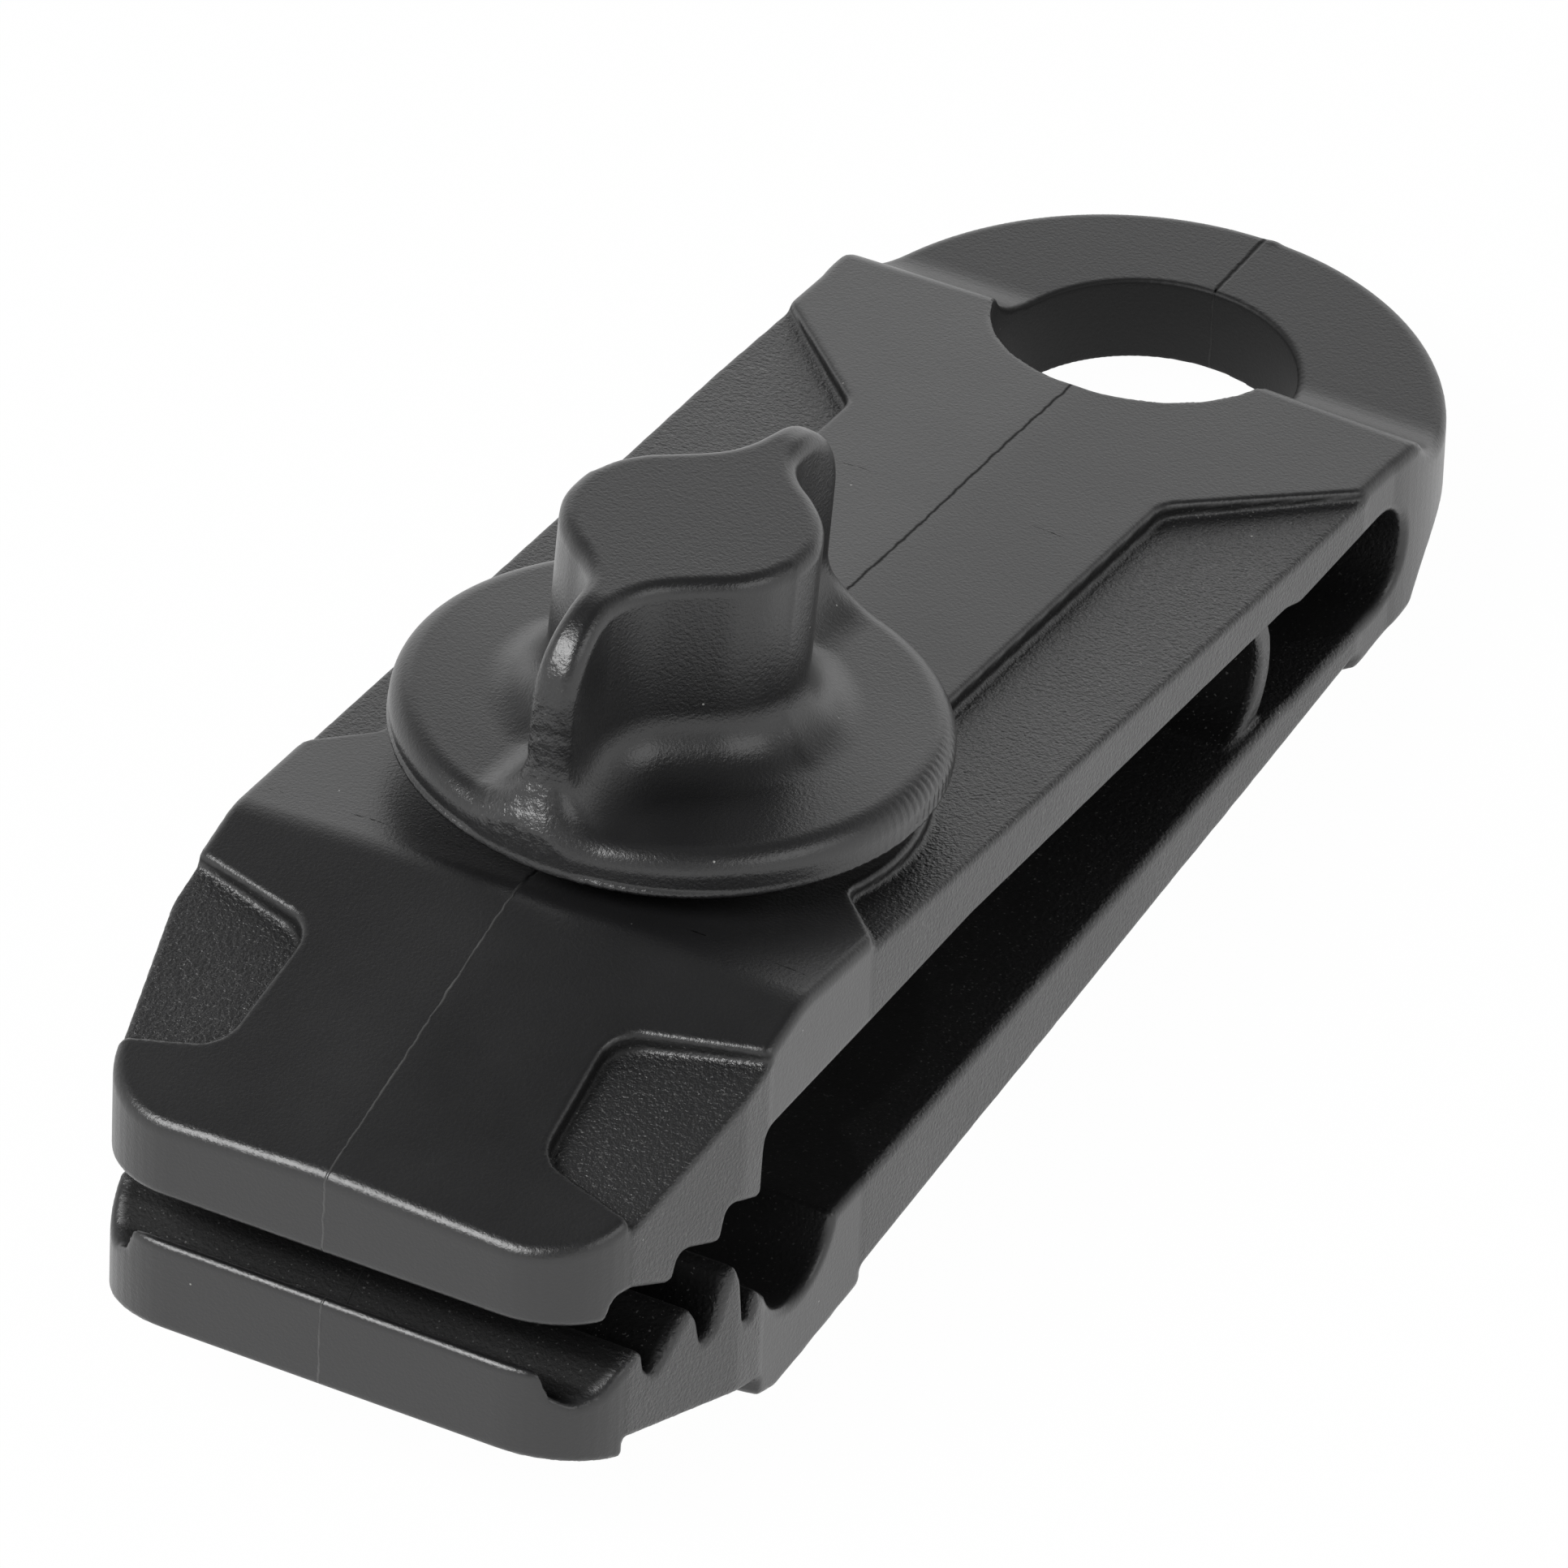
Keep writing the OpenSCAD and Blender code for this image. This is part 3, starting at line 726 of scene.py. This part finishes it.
@dataclass
class ThumbKnob:
    """Flange, collar, hub and two wings, one moulding, in the screw's own frame.

    Each of weld_spots is a place and how far its marks reach, across and up.
    """

    clip: Clip = CLIP
    step: float = 0.17
    unit: float = 0.92
    flange_r: float = 12.7
    flange_low: float = 11.4
    flange_high: float = 13.4
    flange_round: float = 1.15
    flange_slant: float = 0.02
    flange_fall: float = 0.06
    flange_bend_y: float = -3.0
    lip: float = 0.16
    lip_t: float = 0.28
    tick_depth: float = 0.022
    ticks_round: int = 150
    collar_r: float = 5.0
    collar_low: float = 10.1
    top: float = 23.05
    wing_r: float = 11.6
    wing_round: float = 4.1
    root_r: float = 2.8
    edge_r: float = 0.75
    weld_spots: tuple = (
        (-0.9, -10.8, 18.4, 1.1, 2.4), (-0.9, -10.9, 14.8, 1.3, 2.4), (-1.2, -11.6, 12.9, 2.1, 0.9))

    def grip(self) -> Array:
        """Plan of the hub with its two wings: an S that is the same after half a turn.

        One side of a wing runs nearly straight out of the hub, and the other is hollow.

        Returns:
            The outline's points.
        """
        half = [
            (6.25, -0.5), (6.28, 1.2), (5.9, 2.5), (5.2, 3.75), (4.1, 4.9), (2.95, 5.8), (2.15, 6.75),
            (1.78, 7.8), (1.72, 9.5), (1.75, 14), (-0.35, 14), (-0.38, 9.5), (-0.55, 8.2), (-0.95, 7.1),
            (-1.6, 6.1), (-2.5, 5.25), (-3.5, 4.45), (-4.6, 3.55), (-5.5, 2.4), (-6.05, 1.1),
        ]
        return smooth_loop(np.array(half + [(-x, -y) for x, y in half]) * self.unit)

    def weld(self, x: Array, y: Array, z: Array) -> Array:
        """The gate's torn skin: bells round a few spots, each with its reach.

        Args:
            x, y, z: broadcast places in the screw frame.

        Returns:
            How strongly it marks them, from 0 to 1.
        """
        total = 0.0
        for cx, cy, cz, wide, high in self.weld_spots:
            total = total + np.exp(-((x - cx) ** 2 + (y - cy) ** 2) / wide ** 2 - ((z - cz) / high) ** 2)
        return np.minimum(total, 1)

    def solid(self, x: Array, y: Array, z: Array) -> Array:
        """The knob, round the screw's axis.

        Args:
            x, y, z: broadcast places in the screw frame, z from the mid-plane.

        Returns:
            Their signed distance to it.
        """
        r = np.hypot(x, y)
        turn = np.degrees(np.arctan2(y, x))
        front = z - self.flange_high - self.flange_slant * x
        rear = front + self.flange_fall * (y - self.flange_bend_y)
        disc = both(r - self.flange_r, crease(front, rear, 0.3), self.flange_round)
        ticks = rise(np.abs(turn - 5), 26.4, 4.4) * rise(r, 11.9, 12.3)
        disc = disc + self.tick_depth * ticks * np.sin(np.radians(turn * self.ticks_round))
        reach = self.flange_r + self.lip * rise(np.abs(turn + 95), 64.8, 28.8)
        lip = np.maximum(r - reach, np.abs(z - self.flange_low - self.lip_t / 2) - self.lip_t / 2)
        collar = both(r - self.collar_r, np.maximum(self.collar_low - z, z - self.flange_high), 0.2)
        corner = np.maximum(r - (self.wing_r - self.wing_round), 0)
        over = np.maximum(z - (self.top - self.wing_round), 0)
        shell = np.where(
            (corner > 0) & (over > 0), np.hypot(corner, over) - self.wing_round,
            np.maximum(r - self.wing_r, z - self.top))
        grip = both(outline_distance(x, y, self.grip()), shell, self.edge_r)
        grip = both(grip, self.flange_low + 0.4 - z, 0.0)
        room = np.maximum(self.flange_low - z, r - self.flange_r - 0.1)
        knob = np.maximum(either(disc, grip, self.root_r), room)
        knob = either(either(knob, lip, 0.05), collar, 0.0)
        return knob - 0.07 * self.weld(x, y, z) * grain(x, y, z, 0.8, 5)

    def build(self) -> bpy.types.Object:
        """Nets the knob.

        Returns:
            One closed shell.
        """
        low, high = np.array([-13.3, -13.3, 9.6]), np.array([13.3, 13.3, 23.6])
        net = net_in_box(self.solid, low, high, self.step)
        points, slope, faces = net.part(np.ones(len(net.quads), bool))
        none = np.zeros(len(points))
        # The knob gets no painted shade: its slot value is 0 everywhere.
        marks = {"grainy": self.weld(*points.T), "slot": none, "groove": none}
        placed, slope = (self.clip.lay_flat(self.clip.on_screw(p)) for p in (points, points + slope))
        piece = make("thumb_knob", placed, faces, marks, slope - placed)
        LOG.info("thumb_knob: %d faces", len(faces))
        return piece


@dataclass
class ClampScrew:
    """The metal screw: a helical thread, its end chamfered, its head inside the knob."""

    clip: Clip = CLIP
    radius: float = 2.5
    depth: float = 0.42
    pitch: float = 0.8
    low: float = -7.18
    high: float = 15.4
    around: int = 48

    def build(self) -> bpy.types.Object:
        """Radius as a function of turn and height: a rounded V that climbs one pitch a turn.

        Returns:
            The shank with its two end faces.
        """
        rows = int((self.high - self.low) / self.pitch * 12)
        turn = np.linspace(0, 2 * math.pi, self.around, endpoint=False)[None, :]
        z = np.linspace(self.low, self.high, rows)[:, None]
        wave = np.abs((z / self.pitch - turn / (2 * math.pi)) % 1 * 2 - 1)
        r = self.radius - self.depth * np.clip(wave * 1.25 - 0.12, 0, 1)
        r = np.minimum(r, self.radius - 0.55 + (z - self.low) * 0.9)
        points = np.stack(np.broadcast_arrays(r * np.cos(turn), r * np.sin(turn), z), -1).reshape(-1, 3)
        grid = np.arange(rows * self.around).reshape(rows, self.around)
        right = np.roll(grid, -1, 1)
        quads = np.stack([grid[:-1], right[:-1], right[1:], grid[1:]], -1).reshape(-1, 4).tolist()
        faces = quads + [grid[0][::-1].tolist(), grid[-1].tolist()]
        return make("screw_shank", self.clip.lay_flat(self.clip.on_screw(points)), faces)


@dataclass
class CaptiveNut:
    """The thin hexagonal nut in its pocket under the lower arm."""

    clip: Clip = CLIP
    across: float = 8.0
    bore: float = 2.95
    low: float = -7.68
    high: float = -5.0
    edge: float = 0.2
    around: int = 96

    def build(self) -> bpy.types.Object:
        """Place as a function of the turn and of the way round the section.

        Returns:
            A ring, hexagonal and chamfered outside.
        """
        turn = np.linspace(0, 2 * math.pi, self.around, endpoint=False)
        side = np.mod(turn + math.pi / 6, math.pi / 3) - math.pi / 6
        flat = self.across / 2 / np.cos(side)
        round_r = self.across / 2 * 1.02
        drop = np.maximum(flat - round_r, 0) * 0.55
        face, mouth = np.minimum(flat, round_r), self.bore + self.edge
        rings = [
            (self.bore, self.high - self.edge), (mouth, self.high), (face, self.high),
            (flat, self.high - drop - 0.02), (flat, self.low + drop + 0.02), (face, self.low),
            (mouth, self.low), (self.bore, self.low + self.edge),
        ]
        points = np.stack([
            np.stack(np.broadcast_arrays(r * np.cos(turn), r * np.sin(turn), z), -1) for r, z in rings])
        grid = np.arange(len(rings) * self.around).reshape(len(rings), self.around)
        below, right = np.roll(grid, -1, 0), np.roll(grid, -1, 1)
        faces = np.stack([grid, below, np.roll(below, -1, 1), right], -1).reshape(-1, 4).tolist()
        points = points.reshape(-1, 3)[:, [1, 0, 2]]  # two flats lie across the clip, as the pocket's do
        piece = make("hex_nut", self.clip.lay_flat(self.clip.on_screw(points)), faces)
        piece.data.polygons.foreach_set("use_smooth", np.zeros(len(piece.data.polygons), bool))
        return piece


# Finishes


class Tree:
    """A material's or world's nodes, made by one method."""

    def __init__(self, owner: bpy.types.Material | bpy.types.World) -> None:
        """Clears the nodes of a material or world, its owner."""
        owner.use_nodes = True
        self.nodes, self.links = owner.node_tree.nodes, owner.node_tree.links
        self.nodes.clear()

    def node(self, kind: str, settings: dict | None = None, **sockets: object) -> bpy.types.Node:
        """Adds a node.

        Args:
            kind: the node's type.
            settings: attributes set first; "stops" gives a ramp's (place, grey) pairs.
            sockets: input names, with _ for a space, or i and a number, and their values or links.

        Returns:
            The node.
        """
        made = self.nodes.new(kind)
        for key, value in (settings or {}).items():
            if key == "stops":
                ramp = made.color_ramp.elements
                while len(ramp) < len(value):
                    ramp.new(0.5)
                for element, (place, grey) in zip(ramp, value):
                    element.position = place
                    element.color = (grey, grey, grey, 1)
            else:
                setattr(made, key, value)
        for key, value in sockets.items():
            numbered = key[0] == "i" and key[1:].isdigit()
            target = made.inputs[int(key[1:]) if numbered else key.replace("_", " ")]
            if isinstance(value, Value):
                value = value.socket
            if isinstance(value, bpy.types.NodeSocket):
                self.links.new(value, target)
            else:
                target.default_value = value
        return made

    def value(
            self, kind: str, output: int | str = 0, settings: dict | None = None,
            **sockets: object) -> "Value":
        """A node's output as a Value."""
        return Value(self, self.node(kind, settings, **sockets).outputs[output])


class Value:
    """A socket that takes part in sums."""

    def __init__(self, tree: Tree, socket: bpy.types.NodeSocket) -> None:
        """Keeps the tree and the socket."""
        self.tree, self.socket = tree, socket

    def _sum(self, word: str, first: object, second: object) -> "Value":
        """A Math node on two terms."""
        return self.tree.value("ShaderNodeMath", settings={"operation": word}, i0=first, i1=second)

    def __add__(self, other: object) -> "Value":
        """self + other."""
        return self._sum("ADD", self, other)

    def __radd__(self, other: object) -> "Value":
        """other + self."""
        return self._sum("ADD", other, self)

    def __sub__(self, other: object) -> "Value":
        """self - other."""
        return self._sum("SUBTRACT", self, other)

    def __rsub__(self, other: object) -> "Value":
        """other - self."""
        return self._sum("SUBTRACT", other, self)

    def __mul__(self, other: object) -> "Value":
        """self * other."""
        return self._sum("MULTIPLY", self, other)

    def __rmul__(self, other: object) -> "Value":
        """other * self."""
        return self._sum("MULTIPLY", other, self)

    def __truediv__(self, other: object) -> "Value":
        """self / other."""
        return self._sum("DIVIDE", self, other)

    def __rtruediv__(self, other: object) -> "Value":
        """other / self."""
        return self._sum("DIVIDE", other, self)

    def __abs__(self) -> "Value":
        """The size of self, whatever its sign."""
        return self.tree.value("ShaderNodeMath", settings={"operation": "ABSOLUTE"}, i0=self)

    def within(self) -> "Value":
        """self, kept from 0 to 1."""
        return self.tree.value("ShaderNodeClamp", Value=self)


def noise(tree: Tree, place: Value, size_mm: float, detail: float = 3.0) -> Value:
    """Noise with features about size_mm across, on object coordinates in metres."""
    return tree.value(
        "ShaderNodeTexNoise", "Fac", Vector=place, Scale=1 / (size_mm * MM), Detail=detail, Roughness=0.6)


def mixed(tree: Tree, share: Value, first: object, second: object) -> Value:
    """Two colours mixed, the share of the second kept from 0 to 1."""
    return tree.value(
        "ShaderNodeMix", "Result", {"data_type": "RGBA"}, Factor=share.within(), A=first, B=second)


@dataclass(frozen=True)
class BlackPlastic:
    """Moulded black plastic: satin skin, sand-blasted floors, specks of dust and the parting line.

    The mesh's attributes grainy, slot and groove, which masks() of the moulding explains, steer it.
    Pale specks and the nose's raised parting line carry painted highlights, and slot and the groove
    mix in a near-black painted shade.
    """

    name: str
    colour: tuple[float, float, float] = (0.0105, 0.0105, 0.011)
    ior: float = 1.66
    rough: float = 0.32
    skin_mm: float = 0.16
    skin_depth_mm: float = 0.018
    blast_mm: float = 0.2
    blast_depth_mm: float = 0.075
    dust_every_mm: float = 2.6
    dust_mm: float = 0.07
    line_half_mm: float = 0.07
    line_sway_mm: float = 0.5
    line_shake_mm: float = 0.22
    line_depth_mm: float = 0.03

    def parting(self, tree: Tree, place: Value, groove: Value) -> Value:
        """The parting line: 1 where the distance across is next to nothing, after a slow sway.

        Args:
            tree: the material's nodes.
            place: object coordinates.
            groove: the mesh's value, which widens the line.

        Returns:
            1 on the line and 0 beside it.
        """
        across = tree.value("ShaderNodeSeparateXYZ", "X", Vector=place)
        sway = (noise(tree, place, 26, 1) - 0.5) * (self.line_sway_mm * MM)
        sway += (noise(tree, place, 0.9, 2) - 0.5) * (self.line_shake_mm * MM)
        return (1.3 - abs(across + sway) / ((0.8 + 0.5 * groove) * (self.line_half_mm * MM))).within()

    def material(self) -> bpy.types.Material:
        """Wires the finish.

        Returns:
            The node material.
        """
        made = bpy.data.materials.new(self.name)
        tree = Tree(made)
        place = tree.value("ShaderNodeTexCoord", "Object")
        # slot is the painted shade from masks(): it turns the colour near black, roughens the skin and mixes
        # in a near-black sheet.
        mask, painted_shade, groove = (
            tree.value("ShaderNodeAttribute", "Fac", {"attribute_name": key})
            for key in ("grainy", "slot", "groove"))
        skin, blast = noise(tree, place, self.skin_mm, 2), noise(tree, place, self.blast_mm, 2)
        cloud = noise(tree, place, 9, 3)
        near = tree.value(
            "ShaderNodeTexVoronoi", "Distance", Vector=place, Scale=1 / (self.dust_every_mm * MM))
        dust = (2 - near * (2 * self.dust_every_mm / self.dust_mm)).within()
        # Painted highlight: pale glint specks where the mould was blasted.
        glint = ((noise(tree, place, 0.13, 0) - 0.74) * 12).within() * mask
        line = self.parting(tree, place, groove)
        rough = self.rough + 0.06 * mask + 0.14 * (cloud - 0.5) + 0.1 * (skin - 0.5) + 0.3 * painted_shade
        dull, pale = ((*(c * k for c in self.colour), 1) for k in (0.85, 1.3))
        tint = mixed(tree, (cloud - 0.3) * 1.2, dull, pale)
        # Painted shade: the colour turns near black where slot is high.
        tint = mixed(tree, painted_shade * 0.8, tint, (0.003, 0.003, 0.0032, 1))
        # Painted highlight: a pale broken line where the parting line stands proud on the nose.
        ridge_highlight = (line * (1 - groove)).within() * (noise(tree, place, 1.3, 1) * 0.4 - 0.12)
        # Pale colour: real dust specks, plus the painted highlights of the glints and of the nose's parting
        # line.
        tint = mixed(tree, glint * 0.25 + dust + ridge_highlight, tint, (0.3, 0.3, 0.29, 1))
        height = skin * (self.skin_depth_mm * MM) + blast * mask * (self.blast_depth_mm * MM)
        height = height + line * (0.8 - groove) * (self.line_depth_mm * MM)
        bump = tree.value("ShaderNodeBump", "Normal", Height=height, Distance=1.0, Strength=1.0)
        shader = tree.node(
            "ShaderNodeBsdfPrincipled", Base_Color=tint, Roughness=rough, Normal=bump, IOR=self.ior)
        # shade is a near-black sheet, mixed over the plastic as painted shade.
        shade = tree.node("ShaderNodeBsdfDiffuse", Color=(0.002, 0.002, 0.002, 1))
        # Share of the painted shade sheet: in the parting line's groove, more where the groove is wide, and
        # where slot is high, kept off the glints.
        painted_shade_share = line * groove * (1.2 - 0.42 * groove) + painted_shade * 0.68 - glint
        both_shaders = tree.node(
            "ShaderNodeMixShader", i0=painted_shade_share.within(), i1=shader.outputs[0], i2=shade.outputs[0])
        tree.node("ShaderNodeOutputMaterial", Surface=both_shaders.outputs[0])
        return made


@dataclass(frozen=True)
class PlatedSteel:
    """Zinc-plated steel with fine turning marks."""

    name: str
    colour: tuple[float, float, float] = (0.6, 0.61, 0.63)
    rough: float = 0.3

    def material(self) -> bpy.types.Material:
        """Wires the finish.

        Returns:
            The node material.
        """
        made = bpy.data.materials.new(self.name)
        tree = Tree(made)
        place = tree.value("ShaderNodeTexCoord", "Object")
        cloud, fine = noise(tree, place, 2.5), noise(tree, place, 0.15)
        tint = mixed(tree, cloud, (*(c * 0.75 for c in self.colour), 1), (*self.colour, 1))
        bump = tree.value("ShaderNodeBump", "Normal", Height=fine * (0.01 * MM), Distance=1.0)
        shader = tree.node(
            "ShaderNodeBsdfPrincipled", Base_Color=tint, Metallic=1.0,
            Roughness=self.rough + 0.2 * (cloud - 0.5), Normal=bump)
        tree.node("ShaderNodeOutputMaterial", Surface=shader.outputs[0])
        return made


def dress(piece: bpy.types.Object, material: bpy.types.Material) -> None:
    """Finishes a piece.

    Args:
        piece: the object.
        material: its only material.
    """
    piece.data.materials.clear()
    piece.data.materials.append(material)


# Studio


@dataclass
class Studio:
    """Camera, floor, soft light and pale surroundings."""

    target: tuple[float, float, float] = (0.0, 0.00008, 0.00745)
    back: tuple[float, float, float] = (0.36433025, -0.66067846, 0.65632876)
    distance: float = 0.980132
    roll: float = -0.9115
    lens: float = 496.43
    sensor: float = 36.0
    shift: tuple[float, float] = (-0.015934, -0.012250)
    floor_half: float = 3.0
    floor_white: float = 0.985
    floor_shine: float = 1.0
    sky: tuple = ((0.0, 1.0), (0.15, 0.9), (0.36, 0.52), (0.6, 0.4), (0.82, 0.12), (1.0, 0.08))
    lamps: list[tuple] = field(default_factory=lambda: [
        ("lamp_back", (-0.5, 1.1, 0.45), 1.2, 0.7, 1.2),
        ("lamp_right", (1.0, -0.1, 0.7), 0.8, 0.6, 2.0),
        ("lamp_edges", (-0.47, -0.7, 1.0), 0.9, 0.6, 15.5),
    ])

    def camera(self) -> None:
        """Places the camera by its direction, its roll and the long lens of the photograph."""
        data = bpy.data.cameras.new("camera")
        data.sensor_fit, data.sensor_width, data.lens = "HORIZONTAL", self.sensor, self.lens
        data.shift_x, data.shift_y = self.shift
        data.clip_start, data.clip_end = 0.05, 30
        back = Vector(self.back).normalized()
        right = Vector((-back.y, back.x, 0)).normalized()
        up = back.cross(right)
        turn = math.radians(self.roll)
        right, up = right * math.cos(turn) + up * math.sin(turn), up * math.cos(turn) - right * math.sin(turn)
        camera = bpy.data.objects.new("camera", data)
        place = Vector(self.target) + back * self.distance
        camera.matrix_world = Matrix((
            (right.x, up.x, back.x, place.x), (right.y, up.y, back.y, place.y),
            (right.z, up.z, back.z, place.z), (0, 0, 0, 1)))
        bpy.context.scene.collection.objects.link(camera)
        bpy.context.scene.camera = camera

    def floor(self) -> None:
        """A pale floor just under the clip, near white to the camera."""
        h, z = self.floor_half, -0.00005
        mesh = bpy.data.meshes.new("floor")
        mesh.from_pydata([(-h, -h, z), (h, -h, z), (h, h, z), (-h, h, z)], [], [(0, 1, 2, 3)])
        floor = bpy.data.objects.new("floor", mesh)
        bpy.context.scene.collection.objects.link(floor)
        material = bpy.data.materials.new("pale_floor")
        tree = Tree(material)
        path = tree.node("ShaderNodeLightPath")
        seen = Value(tree, path.outputs["Is Camera Ray"]) * self.floor_white
        mirrored = Value(tree, path.outputs["Is Glossy Ray"])
        through = Value(tree, path.outputs["Is Transmission Ray"])
        pale = tree.node("ShaderNodeBsdfDiffuse", Color=(0.8, 0.8, 0.8, 1))
        white = tree.node("ShaderNodeEmission", Color=(1, 1, 1, 1), Strength=1.0)
        share = (seen + (mirrored + through) * self.floor_shine).within()
        mix = tree.node("ShaderNodeMixShader", i0=share, i1=pale.outputs[0], i2=white.outputs[0])
        tree.node("ShaderNodeOutputMaterial", Surface=mix.outputs[0])
        mesh.materials.append(material)

    def world(self) -> None:
        """Pale surroundings, white near the horizon and dimmer overhead."""
        world = bpy.data.worlds.new("pale_room")
        bpy.context.scene.world = world
        tree = Tree(world)
        way = tree.value("ShaderNodeTexCoord", "Generated")
        height = tree.value("ShaderNodeSeparateXYZ", "Z", Vector=way)
        shade = tree.value("ShaderNodeValToRGB", "Color", {"stops": self.sky}, Fac=height)
        back = tree.node("ShaderNodeBackground", Color=shade, Strength=1.0)
        tree.node("ShaderNodeOutputWorld", Surface=back.outputs[0])

    def light(self) -> None:
        """Soft lamps, each a wide panel turned to the clip."""
        for name, place, wide, high, power in self.lamps:
            data = bpy.data.lights.new(name, "AREA")
            data.shape, data.size, data.size_y, data.energy = "RECTANGLE", wide, high, power
            lamp = bpy.data.objects.new(name, data)
            lamp.location = place
            lamp.rotation_euler = (Vector(place) - Vector(self.target)).to_track_quat("Z", "Y").to_euler()
            bpy.context.scene.collection.objects.link(lamp)


def main() -> None:
    """Builds and dresses the clip, then the studio."""
    logging.basicConfig(level=logging.INFO, format="%(message)s")
    scene = bpy.context.scene
    scene.view_settings.view_transform = "Standard"
    studio = Studio()
    studio.camera()
    studio.floor()
    studio.world()
    studio.light()
    body = BlackPlastic("black_moulding").material()
    knob_finish = BlackPlastic(
        "black_knob", rough=0.3, skin_depth_mm=0.022, blast_mm=0.3, blast_depth_mm=0.12,
        line_depth_mm=0.0, line_half_mm=0.0001).material()
    steel = PlatedSteel("plated_screw").material()
    nut_steel = PlatedSteel("plated_nut", colour=(0.55, 0.55, 0.56), rough=0.35).material()
    pieces = {piece.name: piece for piece in Moulding().build()}
    for piece in pieces.values():
        dress(piece, body)
    hinge = next(j for j in frame["joints"] if j["name"] == "jaw_close")["pos_m"]
    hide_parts("lower_jaw")
    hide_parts("upper_jaw")
    for name in ("lower_nose", "lower_span", "back_block"):
        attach(pieces[name], "lower_frame")
    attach(pieces["upper_nose"], "upper_arm")
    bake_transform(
        pieces["upper_span"], "lower_frame", "upper_arm",
        start=(0, hinge[1] - 0.0008, hinge[2]), end=(0, hinge[1] - 0.0200, hinge[2]))
    knob = ThumbKnob().build()
    dress(knob, knob_finish)
    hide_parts("wing_knob")
    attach(knob, "thumb_screw")
    screw = ClampScrew().build()
    dress(screw, steel)
    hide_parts("clamp_screw")
    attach(screw, "thumb_screw")
    nut = CaptiveNut().build()
    dress(nut, nut_steel)
    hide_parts("captive_nut")
    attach(nut, "lower_frame")


if __name__ == "__main__":
    main()
